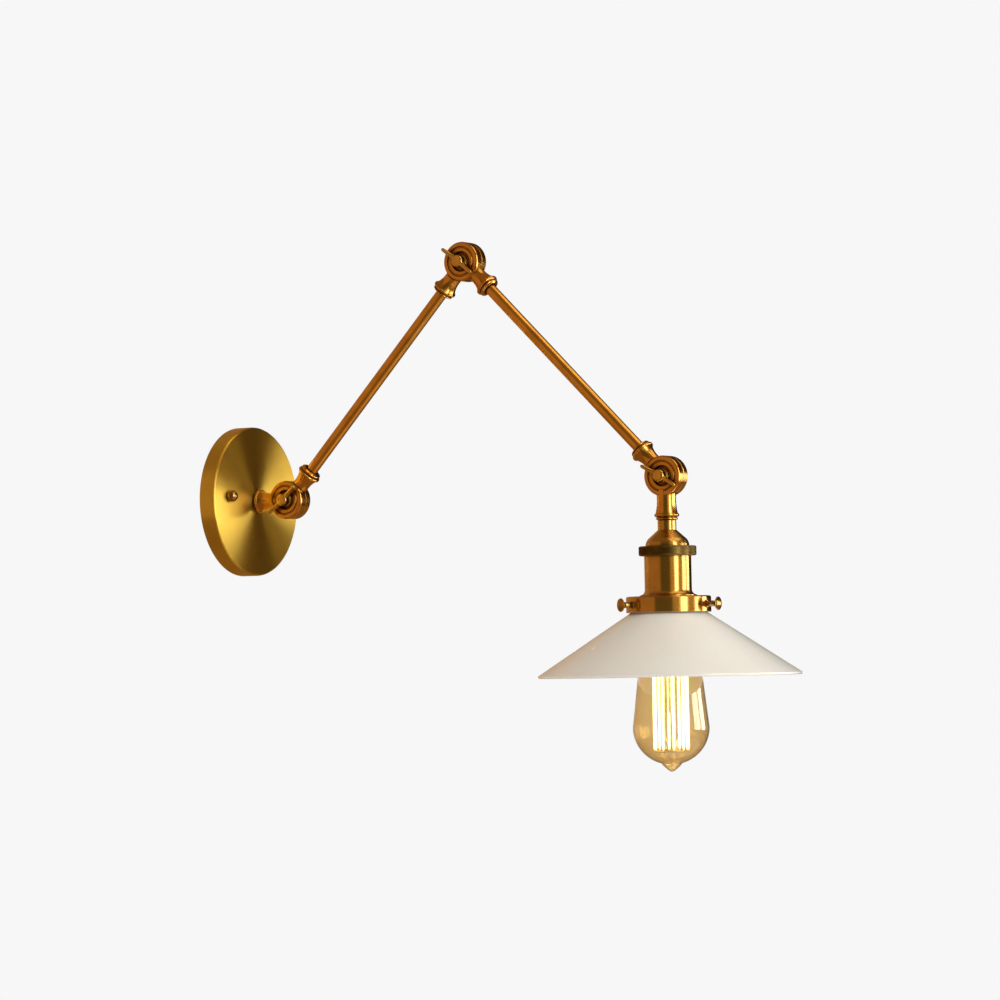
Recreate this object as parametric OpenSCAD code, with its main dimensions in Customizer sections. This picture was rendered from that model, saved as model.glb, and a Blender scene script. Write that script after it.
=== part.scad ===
// Adjustable brass wall lamp: round backplate, two folding arms, opal glass shade.
// The origin is the centre of the backplate's back face. +X leaves the wall, +Z is up.
// Every knuckle turns about an axis along Y, in the vertical plane that holds both arms.

/* [Backplate] */
// Diameter of the backplate
plate_d = 132; // [124:1:150]
// Depth of the backplate's rim
plate_depth = 15.5; // [13:0.5:18]
// Rise of the face from its rim to its flat centre
plate_dome = 0.5; // [0.5:0.5:4]
// Thickness of the backplate's sheet brass
plate_wall = 1.2; // [1:0.1:1.6]
// Distance between the two face screws
face_screw_gap = 88; // [74:1:92]
// Turn of the line through the face screws, counted from level
face_turn = 5; // [0:1:8]
// Diameter of the face screws' thread
face_screw_d = 4; // [3.5:0.5:4.5]
// Diameter of the face screws' ball heads
face_head_d = 10.5; // [9:0.5:12]

/* [Bracket] */
// Thickness of the bracket's steel strip
bracket_wall = 1.5; // [1.2:0.1:2]
// Width of the bracket's strip
bracket_w = 20; // [18:1:24]
// Height of the raised ends that take the face screws
bracket_rise = 6; // [5:0.5:7]
// Distance between the two wall screw slots
wall_slot_gap = 52; // [48:1:53]
// Width of each wall screw slot
wall_slot_w = 5; // [4.5:0.5:5.5]
// Length of each wall screw slot, end to end
wall_slot_len = 9; // [7:0.5:9]
// Length of the tabs that hold the terminal block and the earth screw
tab_len = 13; // [12:0.5:15]
// Width of those tabs
tab_w = 24; // [22:1:28]

/* [Nipple] */
// Thread diameter of the hollow nipples
nipple_d = 10; // [9:0.5:11]
// Bore of the hollow nipples
nipple_bore = 7; // [6:0.5:7.5]
// Thickness of the locknut
nut_h = 4; // [3:0.5:5]
// Width across the locknut's flats
nut_flats = 14; // [13:0.5:16]
// Thickness of the washer under the locknut
nut_washer_h = 1; // [0.8:0.1:1.5]

/* [Arms] */
// Distance between the two pivots of an arm
arm_len = 272; // [220:1:330]
// Outer diameter of the arm tubes
tube_d = 10; // [9:0.5:11]
// Wall of the arm tubes
tube_wall = 1; // [0.8:0.1:1.2]
// Rise of the lower arm above the horizontal at rest
lower_rise = 47; // [20:1:70]
// Fall of the upper arm below the horizontal at rest
upper_fall = 45; // [10:1:60]
// Diameter of each insulated wire core
core_d = 2.4; // [2:0.1:2.6]

/* [Knuckles] */
// Diameter of a knuckle's discs
disc_d = 34; // [32:0.5:38]
// Thickness of one disc
disc_h = 7.7; // [7:0.1:9]
// Thickness of the friction washer between the discs
friction_h = 0.6; // [0.4:0.1:1]
// Diameter of the recess round the wing screw
recess_d = 17; // [16:0.5:18]
// Depth of that recess
recess_depth = 2.5; // [2:0.1:2.7]
// Depth of the wire chamber inside a disc
chamber_depth = 3.6; // [3.4:0.1:4]
// Diameter of the wire chamber
chamber_d = 25; // [24:0.5:26]
// Diameter of the screw boss inside the chamber
boss_d = 11; // [10:0.5:12]
// Narrowest diameter of the trumpet necks on the arms
neck_d = 14; // [13:0.5:15]
// Diameter of the bead at a neck's mouth
bead_d = 21; // [19:0.5:22]
// Distance from a pivot to the middle of its bead
bead_at = 30.4; // [29:0.1:33]
// Distance from the bead's middle to the end of the neck
mouth_len = 4.6; // [4:0.1:6]
// Depth that a tube or nipple enters its neck
socket_depth = 9; // [7:0.5:10]

/* [Wing screws] */
// Thread diameter of the wing screws
wing_thread_d = 5; // [4:0.5:6]
// Diameter of the wing screws' ball-shaped boss
wing_boss_d = 10; // [9:0.1:11]
// Distance from the screw's axis to a wing's tip
wing_reach = 18.5; // [16:0.5:22]
// How far the wing tips stand ahead of the boss's foot
wing_sweep = 8; // [5:0.5:10]

/* [Lampholder] */
// Narrowest diameter of the head's own neck
head_neck_d = 16; // [15:0.5:17]
// Distance from the head pivot to the middle of the head's bead
head_bead_at = 32.8; // [31:0.1:35]
// Diameter of the collar on top of the cap
cap_collar_d = 15.6; // [14:0.1:17]
// Length of that collar
cap_collar_len = 8.8; // [7:0.1:11]
// Height of the domed cap
cap_h = 13; // [11:0.5:15]
// Outer diameter of the knurled ring
ring_d = 48.4; // [46:0.2:52]
// Height of the knurled ring
ring_h = 8.1; // [7:0.1:10]
// Outer diameter of the lampholder's shell
shell_d = 39.4; // [38:0.1:42]
// Length of the shell below the knurled ring
shell_len = 33.8; // [30:0.1:40]
// Sheet thickness of the cap, shell and gallery
sheet = 1; // [0.8:0.1:1.3]
// Diameter of the shell's flared foot
foot_d = 47.6; // [45:0.2:52]

/* [Gallery and shade] */
// Outer diameter of the gallery
gallery_d = 71.2; // [69:0.2:76]
// Height of the gallery
gallery_h = 13.6; // [12:0.2:16]
// Diameter of the glass shade's neck
glass_neck_d = 63; // [60:0.5:64]
// Diameter of the glass shade's rim
shade_d = 221; // [180:1:250]
// Height of the cone from the gallery down to the rim
shade_h = 53.5; // [45:0.5:80]
// Thickness of the glass
glass_t = 3; // [2.5:0.1:3.5]
// Thread diameter of the gallery screws
gallery_screw_d = 3; // [2.5:0.5:4]
// Diameter of the gallery screws' heads
gallery_head_d = 11; // [9:0.5:12]
// Distance from the lamp's axis to the outer end of a gallery screw
gallery_reach = 49; // [46:0.5:54]

/* [Bulb] */
// Largest diameter of the bulb
bulb_d = 64; // [58:1:66]
// Overall length of the bulb with its cap
bulb_len = 144; // [138:1:150]
// Diameter of the bulb's screw cap
bulb_cap_d = 26.2; // [26:0.1:26.4]
// Thickness of the bulb's glass
bulb_t = 0.9; // [0.7:0.1:1.2]
// Number of upright filament strands
strand_count = 10; // [4:2:12]

/* [Hidden] */
$fn = 96;
// Clearances: a seat within one body, a turning pin, and a hole round a screw.
seat_gap = 0.05;
pin_gap = 0.15;
hole_gap = 0.4;
// Space kept between a neck and the mating disc that turns past it.
sweep_gap = 0.5;
// Space between a wing and the face of the disc behind it.
wing_gap = 0.6;
eps = 0.01;

// Backplate: radius of its rolled edge, and radius of the flat centre under the knuckle.
plate_edge = 2;
plate_flat_r = 14;
// Face screws' heads: height of the ball's middle above its flat foot.
face_ball_lift = 3.4;
// Necks: roundness of the bead and of the lip, width and depth of the groove between them.
bead_r = 1.5;
lip_r = 0.8;
lip_at = 3.1;
groove_w = 0.4;
groove_depth = 2;
mouth_wall = 2.1;
// Start of a neck's flare ahead of the disc, and the open ring round the tube at its mouth.
throat_gap = 2;
mouth_gap = 1.1;
mouth_depth = 1.4;
// Discs: rounded edge, raised rim, groove, and the drop of the inner ring's face.
disc_edge = 1.6;
disc_rim_w = 2;
disc_groove_w = 0.9;
disc_groove_depth = 0.9;
disc_ring_drop = 0.2;
corner = 0.5;
// Wing screws: lift of the ball's middle above the disc, drop of its neck below the ball,
// thickness of the wings, and their height near the boss and at the tip.
wing_ball_lift = 2.4;
wing_neck_drop = 0.8;
wing_thick = 3;
wing_root_h = 4.6;
wing_tip_h = 3;
// Lampholder: the dome's rounded shoulder, the height of the foot's flare.
cap_corner_r = 9;
foot_flare = 5.6;
// Inside it: space round the bulb's threads, sheet of the screw shell, wall of the liner,
// bore of a wire way, and the distance from the lamp's axis to each wire way.
thread_gap = 0.3;
contact_sheet = 0.75;
liner_wall = 3.7;
wire_way_d = core_d + 1;
wire_way_at = 8;
// Gallery: rounded edge, wall and length of its screw bushes.
gallery_edge = 1.6;
bush_wall = 1.5;
bush_len = 1;
// Thumb screws: depth of the flared head.
gallery_head_h = 4.6;

face_x = plate_depth + plate_dome;
mouth_at = bead_at + mouth_len;
head_mouth_at = head_bead_at + mouth_len - 0.5;
pivot_x = face_x + mouth_at;
half_gap = friction_h / 2;
disc_face = half_gap + disc_h;

lower_dir = lower_rise;
upper_dir = -upper_fall;
elbow = [pivot_x + arm_len * cos(lower_dir), 0, arm_len * sin(lower_dir)];
head = elbow + arm_len * [cos(upper_dir), 0, sin(upper_dir)];

// Heights below the head pivot, along the lampholder's axis.
cap_top = head_mouth_at;
dome_top = cap_top + cap_collar_len;
ring_top = dome_top + cap_h;
ring_bottom = ring_top + ring_h;
foot_bottom = ring_bottom + shell_len;
gallery_bottom = foot_bottom + gallery_h;
screw_level = foot_bottom + gallery_h * 0.52;
rim_level = gallery_bottom + shade_h;
bulb_contact = foot_bottom + 2.6;
bulb_tip = bulb_contact + bulb_len;
cap_len = 26;
cap_bottom = bulb_contact + cap_len;
socket_bottom = cap_bottom + 0.5;

function arc(centre, r, from, to, steps) =
    [for (i = [0:steps]) centre + r * [cos(from + (to - from) * i / steps),
                                      sin(from + (to - from) * i / steps)]];

// Turns a profile drawn as [radius, distance] about +X.
module turn_x() rotate([0, 90, 0]) rotate_extrude() children();
// Turns a profile drawn as [radius, distance] about +Y.
module turn_y() rotate([-90, 0, 0]) rotate_extrude() children();
// Turns a profile drawn as [radius, depth below the head pivot] about the lamp's axis.
module turn_head() translate(head) mirror([0, 0, 1]) rotate_extrude() children();

module at_base() translate([pivot_x, 0, 0]) children();
module along_lower() at_base() rotate([0, -lower_dir, 0]) children();
module along_upper() translate(elbow) rotate([0, -upper_dir, 0]) children();

module ring_solid(r_out, r_in, h) difference() {
    cylinder(r = r_out, h = h);
    translate([0, 0, -eps]) cylinder(r = r_in, h = h + 2 * eps);
}

// Half of a knuckle

// Outline of a trumpet neck with its bead, a thin groove and a lip at the mouth.
function neck_outline(narrow_r, bead_s, end_s) =
    let (start = chamber_d / 2 - 2 * corner, throat = disc_d / 2 + throat_gap,
         flare_end = bead_s - 0.8 * bead_r, rim_r = bead_d / 2,
         groove_r = rim_r - groove_depth, groove_at = bead_s + bead_r + groove_w)
    concat(
        [[0, start], [narrow_r + groove_w, start]],
        [for (i = [0:8]) let (t = i / 8)
            [narrow_r + (rim_r - 0.7 * bead_r - narrow_r) * pow(t, 2.2),
             throat + (flare_end - throat) * t]],
        arc([rim_r - bead_r, bead_s], bead_r, -55, 75, 8),
        [[groove_r, groove_at], [groove_r, groove_at + groove_w]],
        arc([rim_r - mouth_wall, bead_s + lip_at], lip_r, -70, 80, 5),
        [[rim_r - mouth_wall - lip_r - groove_w, end_s], [0, end_s]]);

// Outline of a disc: a rounded edge, a raised rim, a groove and a raised inner ring.
function disc_outline(centre_depth, centre_r) =
    let (r = disc_d / 2, h = disc_face, rim_in = r - disc_edge - disc_rim_w,
         groove_in = rim_in - corner - disc_groove_w, ring_h = h - disc_ring_drop)
    concat(
        [[0, half_gap], [r - corner, half_gap], [r, half_gap + corner]],
        arc([r - disc_edge, h - disc_edge], disc_edge, 0, 90, 6),
        [[rim_in, h], [rim_in - corner, h - disc_groove_depth]],
        [[groove_in, h - disc_groove_depth], [groove_in - corner, ring_h]],
        [[centre_r + corner, ring_h], [centre_r, ring_h - corner], [centre_r, h - centre_depth]],
        [[0, h - centre_depth]]);

// Disc on the +Y side with its neck along +X. The side facing -Y mates with the other half.
module knuckle_half(narrow_r, bead_s, end_s, clamped) {
    centre_r = clamped ? recess_d / 2 : boss_d / 2 - corner;
    centre_depth = clamped ? recess_depth : disc_groove_depth;
    hole_r = wing_thread_d / 2 + (clamped ? pin_gap : seat_gap);
    mouth_r = tube_d / 2 + mouth_gap;
    difference() {
        union() {
            turn_y() polygon(disc_outline(centre_depth, centre_r));
            difference() {
                turn_x() polygon(neck_outline(narrow_r, bead_s, end_s));
                // scoop that lets the mating disc turn past the neck
                translate([0, half_gap, 0]) rotate([90, 0, 0])
                    cylinder(r = disc_d / 2 + sweep_gap, h = disc_d);
            }
        }
        // wire chamber round the screw boss
        translate([0, half_gap + chamber_depth, 0]) rotate([90, 0, 0])
            ring_solid(chamber_d / 2, boss_d / 2, chamber_depth + 1);
        // wire way along the neck, and the seat of the tube
        translate([chamber_d / 2 - 4 * corner, 0, 0]) rotate([0, 90, 0])
            cylinder(r = tube_d / 2 - tube_wall - 2 * seat_gap, h = end_s);
        translate([end_s - socket_depth, 0, 0]) rotate([0, 90, 0])
            cylinder(r = tube_d / 2 + seat_gap, h = socket_depth + 1);
        translate([end_s - mouth_depth, 0, 0]) rotate([0, 90, 0])
            cylinder(r = mouth_r, h = mouth_depth + 1);
        rotate([-90, 0, 0]) translate([0, 0, -1]) cylinder(r = hole_r, h = disc_face + 2);
    }
}

module front_half(narrow_r, bead_s, end_s)
    mirror([0, 1, 0]) knuckle_half(narrow_r, bead_s, end_s, true);
module back_half(narrow_r, bead_s, end_s)
    knuckle_half(narrow_r, bead_s, end_s, false);

module friction_washer() translate([0, half_gap, 0]) rotate([90, 0, 0])
    ring_solid(disc_d / 2 - 0.8, chamber_d / 2 + 0.4, friction_h);

// Wing screw: domed boss, two swept wings, and a shank through both discs.
module wing_screw() {
    floor_y = disc_face - recess_depth;
    boss_r = wing_boss_d / 2;
    foot_r = boss_r + wing_gap;
    ball_neck_r = boss_r - wing_neck_drop;
    ball_y = disc_face + wing_ball_lift;
    root_r = wing_root_h / 2;
    tip_r = wing_tip_h / 2;
    // The wings leave the ball at its middle and clear the disc's face behind them.
    root_at = [wing_boss_d / 4, ball_y];
    middle_at = [wing_reach * 0.55, disc_face + wing_gap + root_r];
    tip_at = [wing_reach - tip_r, floor_y + wing_sweep];
    mirror([0, 1, 0]) {
        turn_y() polygon(concat(
            [[0, floor_y], [foot_r, floor_y], [foot_r, floor_y + 2 * corner],
             [ball_neck_r, floor_y + 3 * corner]],
            arc([0, ball_y], boss_r, -acos(ball_neck_r / boss_r), 90, 10)));
        for (side = [-1, 1]) {
            hull() {
                translate([side * root_at[0], root_at[1], 0])
                    cylinder(r = root_r * 0.8, h = wing_thick, center = true, $fn = 32);
                translate([side * middle_at[0], middle_at[1], 0])
                    cylinder(r = root_r, h = wing_thick * 0.85, center = true, $fn = 32);
            }
            hull() {
                translate([side * middle_at[0], middle_at[1], 0])
                    cylinder(r = root_r, h = wing_thick * 0.85, center = true, $fn = 32);
                translate([side * tip_at[0], tip_at[1], 0])
                    cylinder(r = tip_r, h = wing_thick * 0.6, center = true, $fn = 32);
            }
        }
    }
    translate([0, disc_face - 1, 0]) rotate([90, 0, 0])
        cylinder(d = wing_thread_d, h = disc_face - 1 + floor_y + eps);
}

// Wires

module core(from, to) {
    reach = to - from;
    translate(from)
        rotate([0, acos(reach[2] / norm(reach)), atan2(reach[1], reach[0])])
            cylinder(d = core_d, h = norm(reach));
}

// One core's quarter turn round the boss inside a knuckle, and the joint to its straight run.
chamber_mid = (chamber_d + boss_d) / 4;
core_level = half_gap + chamber_depth / 2;
core_offset = core_d / 2 + 0.1;
// The insulation is a little fuller at a bend.
bend_d = core_d * 1.06;
module chamber_turn(side, up) {
    start = asin(core_offset / chamber_mid);
    translate([chamber_mid * cos(start), side * core_level, up * core_offset])
        sphere(d = bend_d);
    translate([0, side * core_level, 0]) rotate([up > 0 ? 90 : -90, 0, 0])
        rotate([0, 0, start]) rotate_extrude(angle = 80)
            translate([chamber_mid, 0]) circle(d = core_d);
}

// Two cores from knuckle to knuckle, leaving each chamber on the side of its own disc.
module arm_cores(root_side, tip_side) for (up = [-1, 1]) {
    chamber_turn(root_side, up);
    translate([arm_len, 0, 0]) rotate([0, 180, 0]) chamber_turn(tip_side, up);
    core([chamber_mid, root_side * core_level, up * core_offset],
         [arm_len - chamber_mid, tip_side * core_level, up * core_offset]);
}

// Backplate

// Height of the domed face, from t = 0 at its rim to t = 1 at its flat centre.
function face_at(t) = plate_depth + plate_dome * sin(90 * t);

module backplate() color("darkgoldenrod") {
    r = plate_d / 2;
    edge_at = [r - plate_edge, plate_depth - plate_edge];
    steps = 8;
    outer = concat(
        [[r, 0]], arc(edge_at, plate_edge, 0, 80, 5),
        [for (i = [0:steps]) let (t = i / steps)
            [edge_at[0] - (edge_at[0] - plate_flat_r) * t, face_at(t)]]);
    inner = concat(
        [[r - plate_wall, 0]],
        arc(edge_at, plate_edge - plate_wall, 0, 80, 3),
        [for (i = [0:steps]) let (t = i / steps)
            [edge_at[0] - (edge_at[0] - plate_flat_r) * t, face_at(t) - plate_wall]]);
    difference() {
        turn_x() polygon(concat([[0, 0]], outer, [[0, face_x]]));
        turn_x() polygon(concat([[0, -1], [r - plate_wall, -1]], inner,
                                [[0, face_x - plate_wall]]));
        rotate([0, 90, 0]) cylinder(d = nipple_d + 2 * pin_gap, h = face_x + 1);
        for (side = [-1, 1]) face_screw_at(side)
            rotate([0, 90, 0]) cylinder(d = face_screw_d + hole_gap, h = face_x + 1);
    }
}

// Where a face screw's ball rests: on the dome, at its foot's edge nearest the middle.
dome_r = plate_d / 2 - plate_edge;
face_ball_r = face_head_d / 2;
face_foot_r = sqrt(face_ball_r * face_ball_r - face_ball_lift * face_ball_lift);
head_in_r = face_screw_gap / 2 - face_foot_r;
face_screw_x = face_at((dome_r - head_in_r) / (dome_r - plate_flat_r)) + seat_gap;

module face_screw_at(side) rotate([-face_turn, 0, 0])
    translate([0, side * face_screw_gap / 2, 0]) children();

module wall_bracket() color("silver") {
    flat = face_screw_gap / 2 - 6.5;
    raised = face_screw_gap / 2 - 4;
    end = face_screw_gap / 2 + 7;
    half = concat(
        [[0, 0], [0, flat], [bracket_rise, raised], [bracket_rise, end]],
        [[bracket_rise + bracket_wall, end], [bracket_rise + bracket_wall, raised - 0.8]],
        [[bracket_wall, flat - 0.8], [bracket_wall, 0]]);
    difference() {
        union() {
            for (flip = [0, 1]) mirror([0, flip, 0])
                translate([0, 0, -bracket_w / 2]) linear_extrude(bracket_w) polygon(half);
            translate([0, -tab_w / 2, -bracket_w / 2 - tab_len])
                cube([bracket_wall, tab_w, bracket_w + 2 * tab_len]);
        }
        rotate([0, 90, 0]) translate([0, 0, -1])
            cylinder(d = nipple_d + 4, h = bracket_wall + 2);
        for (side = [-1, 1]) {
            for (end_of = [-1, 1])
                translate([-1, side * wall_slot_gap / 2
                           + end_of * (wall_slot_len - wall_slot_w) / 2, 0])
                    rotate([0, 90, 0]) cylinder(d = wall_slot_w, h = bracket_wall + 2);
            translate([-1, side * wall_slot_gap / 2 - (wall_slot_len - wall_slot_w) / 2,
                       -wall_slot_w / 2])
                cube([bracket_wall + 2, wall_slot_len - wall_slot_w, wall_slot_w]);
            face_screw_at(side) translate([bracket_rise - 1, 0, 0]) rotate([0, 90, 0])
                cylinder(d = face_screw_d + 2 * seat_gap, h = bracket_wall + 2);
        }
        translate([-1, 0, bracket_w / 2 + tab_len / 2]) rotate([0, 90, 0])
            cylinder(d = 4 + 2 * seat_gap, h = bracket_wall + 2);
    }
}

// Thumb-turned screws: a ball with a flat foot, and the threaded shank.
module face_screws() color("goldenrod") for (side = [-1, 1]) face_screw_at(side) {
    foot_turn = asin(-face_ball_lift / face_ball_r);
    translate([face_screw_x, 0, 0]) turn_x() polygon(concat(
        [[0, 0]], arc([0, face_ball_lift], face_ball_r, foot_turn, 90, 12)));
    tail_x = bracket_rise - 1.5;
    translate([tail_x, 0, 0]) rotate([0, 90, 0])
        cylinder(d = face_screw_d, h = face_screw_x - tail_x + eps);
}

module terminal_block() color("ivory") {
    block = [9, 20, 11];
    pitch = block[1] / 2;
    translate([bracket_wall, -block[1] / 2, -bracket_w / 2 - tab_len + 0.5]) difference() {
        cube(block);
        for (i = [0:1]) translate([0, pitch * (i + 0.5), 0]) {
            translate([block[0] / 2, 0, -1]) cylinder(d = 3.4, h = block[2] + 2);
            translate([block[0] / 2, 0, block[2] / 2]) rotate([0, 90, 0])
                cylinder(d = 3.6, h = block[0]);
        }
        translate([block[0] - 3, pitch - 0.8, -1]) cube([4, 1.6, block[2] + 2]);
    }
}

module earth_screw() color("mediumseagreen")
    translate([0, 0, bracket_w / 2 + tab_len / 2]) {
        translate([bracket_wall, 0, 0]) turn_x() polygon(concat(
            [[0, 0], [4.4, 0], [4.4, 1], [3.7, 1], [3.7, 2.4]],
            arc([0, 2.2], 3.6, 20, 90, 5)));
        rotate([0, 90, 0]) cylinder(d = 4, h = bracket_wall + eps);
    }

nipple_in = face_x - plate_wall - nut_washer_h - nut_h - 2;
module wall_nipple() color("silver") translate([nipple_in, 0, 0]) rotate([0, 90, 0])
    ring_solid(nipple_d / 2, nipple_bore / 2, face_x + socket_depth - 1.5 - nipple_in);

module nipple_washer() color("lightgray")
    translate([face_x - plate_wall - nut_washer_h, 0, 0]) rotate([0, 90, 0])
        ring_solid(nipple_d / 2 + 4, nipple_d / 2 + seat_gap, nut_washer_h);

module hex_nut(flats, bore_r, h) difference() {
    intersection() {
        cylinder(d = flats / cos(30), h = h, $fn = 6);
        cylinder(d1 = flats / cos(30) - 0.4, d2 = flats / cos(30) + 2.2, h = h);
    }
    translate([0, 0, -1]) cylinder(r = bore_r, h = h + 2);
}

module nipple_locknut() color("silver")
    translate([face_x - plate_wall - nut_washer_h - nut_h, 0, 0]) rotate([0, 90, 0])
        hex_nut(nut_flats, nipple_d / 2 + seat_gap, nut_h);

module wall_knuckle() color("peru") at_base() rotate([0, 180, 0])
    front_half(neck_d / 2, bead_at, mouth_at);

module wall_wires() color("firebrick") for (up = [-1, 1]) {
    at_base() rotate([0, 180, 0]) chamber_turn(-1, up);
    bend_x = nipple_in - 2.4;
    core([bend_x, -core_level * 0.3, up * core_offset],
         [pivot_x - chamber_mid, -core_level, up * core_offset]);
    translate([bend_x, -core_level * 0.3, up * core_offset]) sphere(d = bend_d);
    terminal = [bracket_wall + 4.5, up * 5, -bracket_w / 2 - 1.5];
    core([bend_x, -core_level * 0.3, up * core_offset], terminal);
    translate(terminal) sphere(d = bend_d);
    core(terminal, terminal - [0, 0, 5]);
}

module base_friction_washer() color("saddlebrown") at_base() friction_washer();
module base_wing_screw() color("goldenrod") at_base() rotate([0, -40, 0]) wing_screw();

// Arms

module arm_tube() translate([mouth_at - socket_depth + 0.5, 0, 0]) rotate([0, 90, 0])
    ring_solid(tube_d / 2, tube_d / 2 - tube_wall,
               arm_len - 2 * (mouth_at - socket_depth + 0.5));

module lower_arm_root() color("peru") along_lower()
    back_half(neck_d / 2, bead_at, mouth_at);
module lower_arm_tube() color("chocolate") along_lower() arm_tube();
module lower_arm_tip() color("peru") along_lower() translate([arm_len, 0, 0])
    rotate([0, 180, 0]) back_half(neck_d / 2, bead_at, mouth_at);
module lower_arm_wires() color("firebrick") along_lower() arm_cores(1, 1);

module elbow_friction_washer() color("saddlebrown") translate(elbow) friction_washer();
module elbow_wing_screw() color("goldenrod") translate(elbow) rotate([0, 38, 0])
    wing_screw();

module upper_arm_root() color("peru") along_upper()
    front_half(neck_d / 2, bead_at, mouth_at);
module upper_arm_tube() color("chocolate") along_upper() arm_tube();
module upper_arm_tip() color("peru") along_upper() translate([arm_len, 0, 0])
    rotate([0, 180, 0]) back_half(neck_d / 2, bead_at, mouth_at);
module upper_arm_wires() color("firebrick") along_upper() arm_cores(-1, 1);

module head_friction_washer() color("saddlebrown") translate(head) friction_washer();
module head_wing_screw() color("goldenrod") translate(head) rotate([0, 29, 0])
    wing_screw();

// Lampholder

module head_knuckle() color("peru") translate(head) rotate([0, 90, 0])
    front_half(head_neck_d / 2, head_bead_at, head_mouth_at);

nipple_top = head_mouth_at - socket_depth + 1;
nipple_end = dome_top + 9;
module holder_nipple() color("silver") turn_head() translate([nipple_bore / 2, 0])
    polygon([[0, nipple_top], [(nipple_d - nipple_bore) / 2, nipple_top],
             [(nipple_d - nipple_bore) / 2, nipple_end], [0, nipple_end]]);

// Domed cap with a straight collar; the nipple screws into its top web.
module holder_cap() color("goldenrod") {
    collar_r = cap_collar_d / 2;
    base_r = shell_d / 2 - 1.3;
    shoulder_at = [base_r - cap_corner_r, ring_top];
    outer = concat([[collar_r - corner, cap_top], [collar_r, cap_top + corner],
                    [collar_r, dome_top - corner], [collar_r + corner, dome_top]],
                   arc(shoulder_at, cap_corner_r, -50, 0, 8));
    inner_base = base_r - sheet;
    turn_head() polygon(concat(
        outer,
        [[base_r, ring_top + 2], [inner_base, ring_top + 2]],
        arc(shoulder_at, cap_corner_r - sheet, 0, -50, 8),
        [[collar_r, dome_top + 3], [nipple_d / 2 + seat_gap, dome_top + 3],
         [nipple_d / 2 + seat_gap, cap_top]]));
}

// Ring that clamps the cap to the shell; its outer face is knurled.
module knurled_ring() color("darkolivegreen") {
    r = ring_d / 2;
    grip = shell_d / 2 - 1.2;
    edge = 1.4;
    turn_head() polygon(concat(
        [[grip, ring_top]],
        arc([r - edge, ring_top + edge], edge, -90, 0, 4),
        arc([r - edge, ring_bottom - edge], edge, 0, 90, 4),
        [[grip, ring_bottom]]));
}

module holder_shell() color("goldenrod") {
    r = shell_d / 2;
    neck_r = r - 1.25;
    inner = r - sheet - 0.5;
    foot_r = foot_d / 2;
    outer = [for (i = [0:6]) let (t = i / 6)
        [r + (foot_r - r) * (1 - cos(90 * t)),
         foot_bottom - foot_flare + (foot_flare - sheet) * sin(90 * t)]];
    turn_head() polygon(concat(
        [[inner, ring_top + 2], [neck_r, ring_top + 2], [neck_r, ring_bottom],
         [r, ring_bottom]],
        outer,
        [[foot_r, foot_bottom], [foot_r - 1, foot_bottom]],
        [[inner, foot_bottom - 1.6]]));
}

// Porcelain block that holds the contacts, with two wire ways.
core_r = shell_d / 2 - sheet - 0.5 - 0.1;
module holder_core() color("white") difference() {
    turn_head() polygon([[0, ring_bottom], [core_r - 1, ring_bottom],
                         [core_r, ring_bottom + 1], [core_r, foot_bottom - 1],
                         [core_r - 1, foot_bottom], [0, foot_bottom]]);
    translate(head - [0, 0, foot_bottom + 1]) for (side = [-1, 1])
        translate([side * wire_way_at, 0, 0]) cylinder(d = wire_way_d, h = shell_len + 2);
}

// Insulating threaded sleeve that carries the ring nut, round the screw shell.
contact_in_r = bulb_cap_d / 2 + thread_gap;
contact_r = contact_in_r + contact_sheet;
liner_in_r = contact_r + seat_gap;
liner_r = liner_in_r + liner_wall;
module holder_liner() color("dimgray") turn_head() polygon([
    [liner_in_r, foot_bottom], [liner_r, foot_bottom],
    [liner_r, socket_bottom - 0.6], [liner_r - 0.6, socket_bottom],
    [liner_in_r, socket_bottom]]);

module screw_shell() color("gold") turn_head() polygon([
    [contact_in_r, foot_bottom], [contact_r, foot_bottom],
    [contact_r, socket_bottom - 0.5], [contact_in_r, socket_bottom - 0.5]]);

module centre_contact() color("gold") turn_head() polygon([
    [0, foot_bottom], [5, foot_bottom], [5, foot_bottom + 0.8],
    [3.5, foot_bottom + 1.8], [3.5, bulb_contact], [0, bulb_contact]]);

module head_wires() color("firebrick") for (up = [-1, 1]) {
    translate(head) rotate([0, 90, 0]) chamber_turn(-1, up);
    x = up * core_offset;
    low = -nipple_end - 1;
    block_x = up * wire_way_at;
    core(head + [x, -core_level, -chamber_mid], head + [x, 0, low]);
    translate(head + [x, 0, low]) sphere(d = bend_d);
    core(head + [x, 0, low], head + [block_x, 0, -ring_bottom + 1.5]);
    translate(head + [block_x, 0, -ring_bottom + 1.5]) sphere(d = bend_d);
    core(head + [block_x, 0, -ring_bottom + 1.5], head + [block_x, 0, -ring_bottom - 12]);
}

// Gallery and shade

screw_turns = [0, 120, 240];
module gallery_side(turn) translate(head - [0, 0, screw_level]) rotate([0, 0, turn])
    rotate([0, 90, 0]) children();

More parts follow.
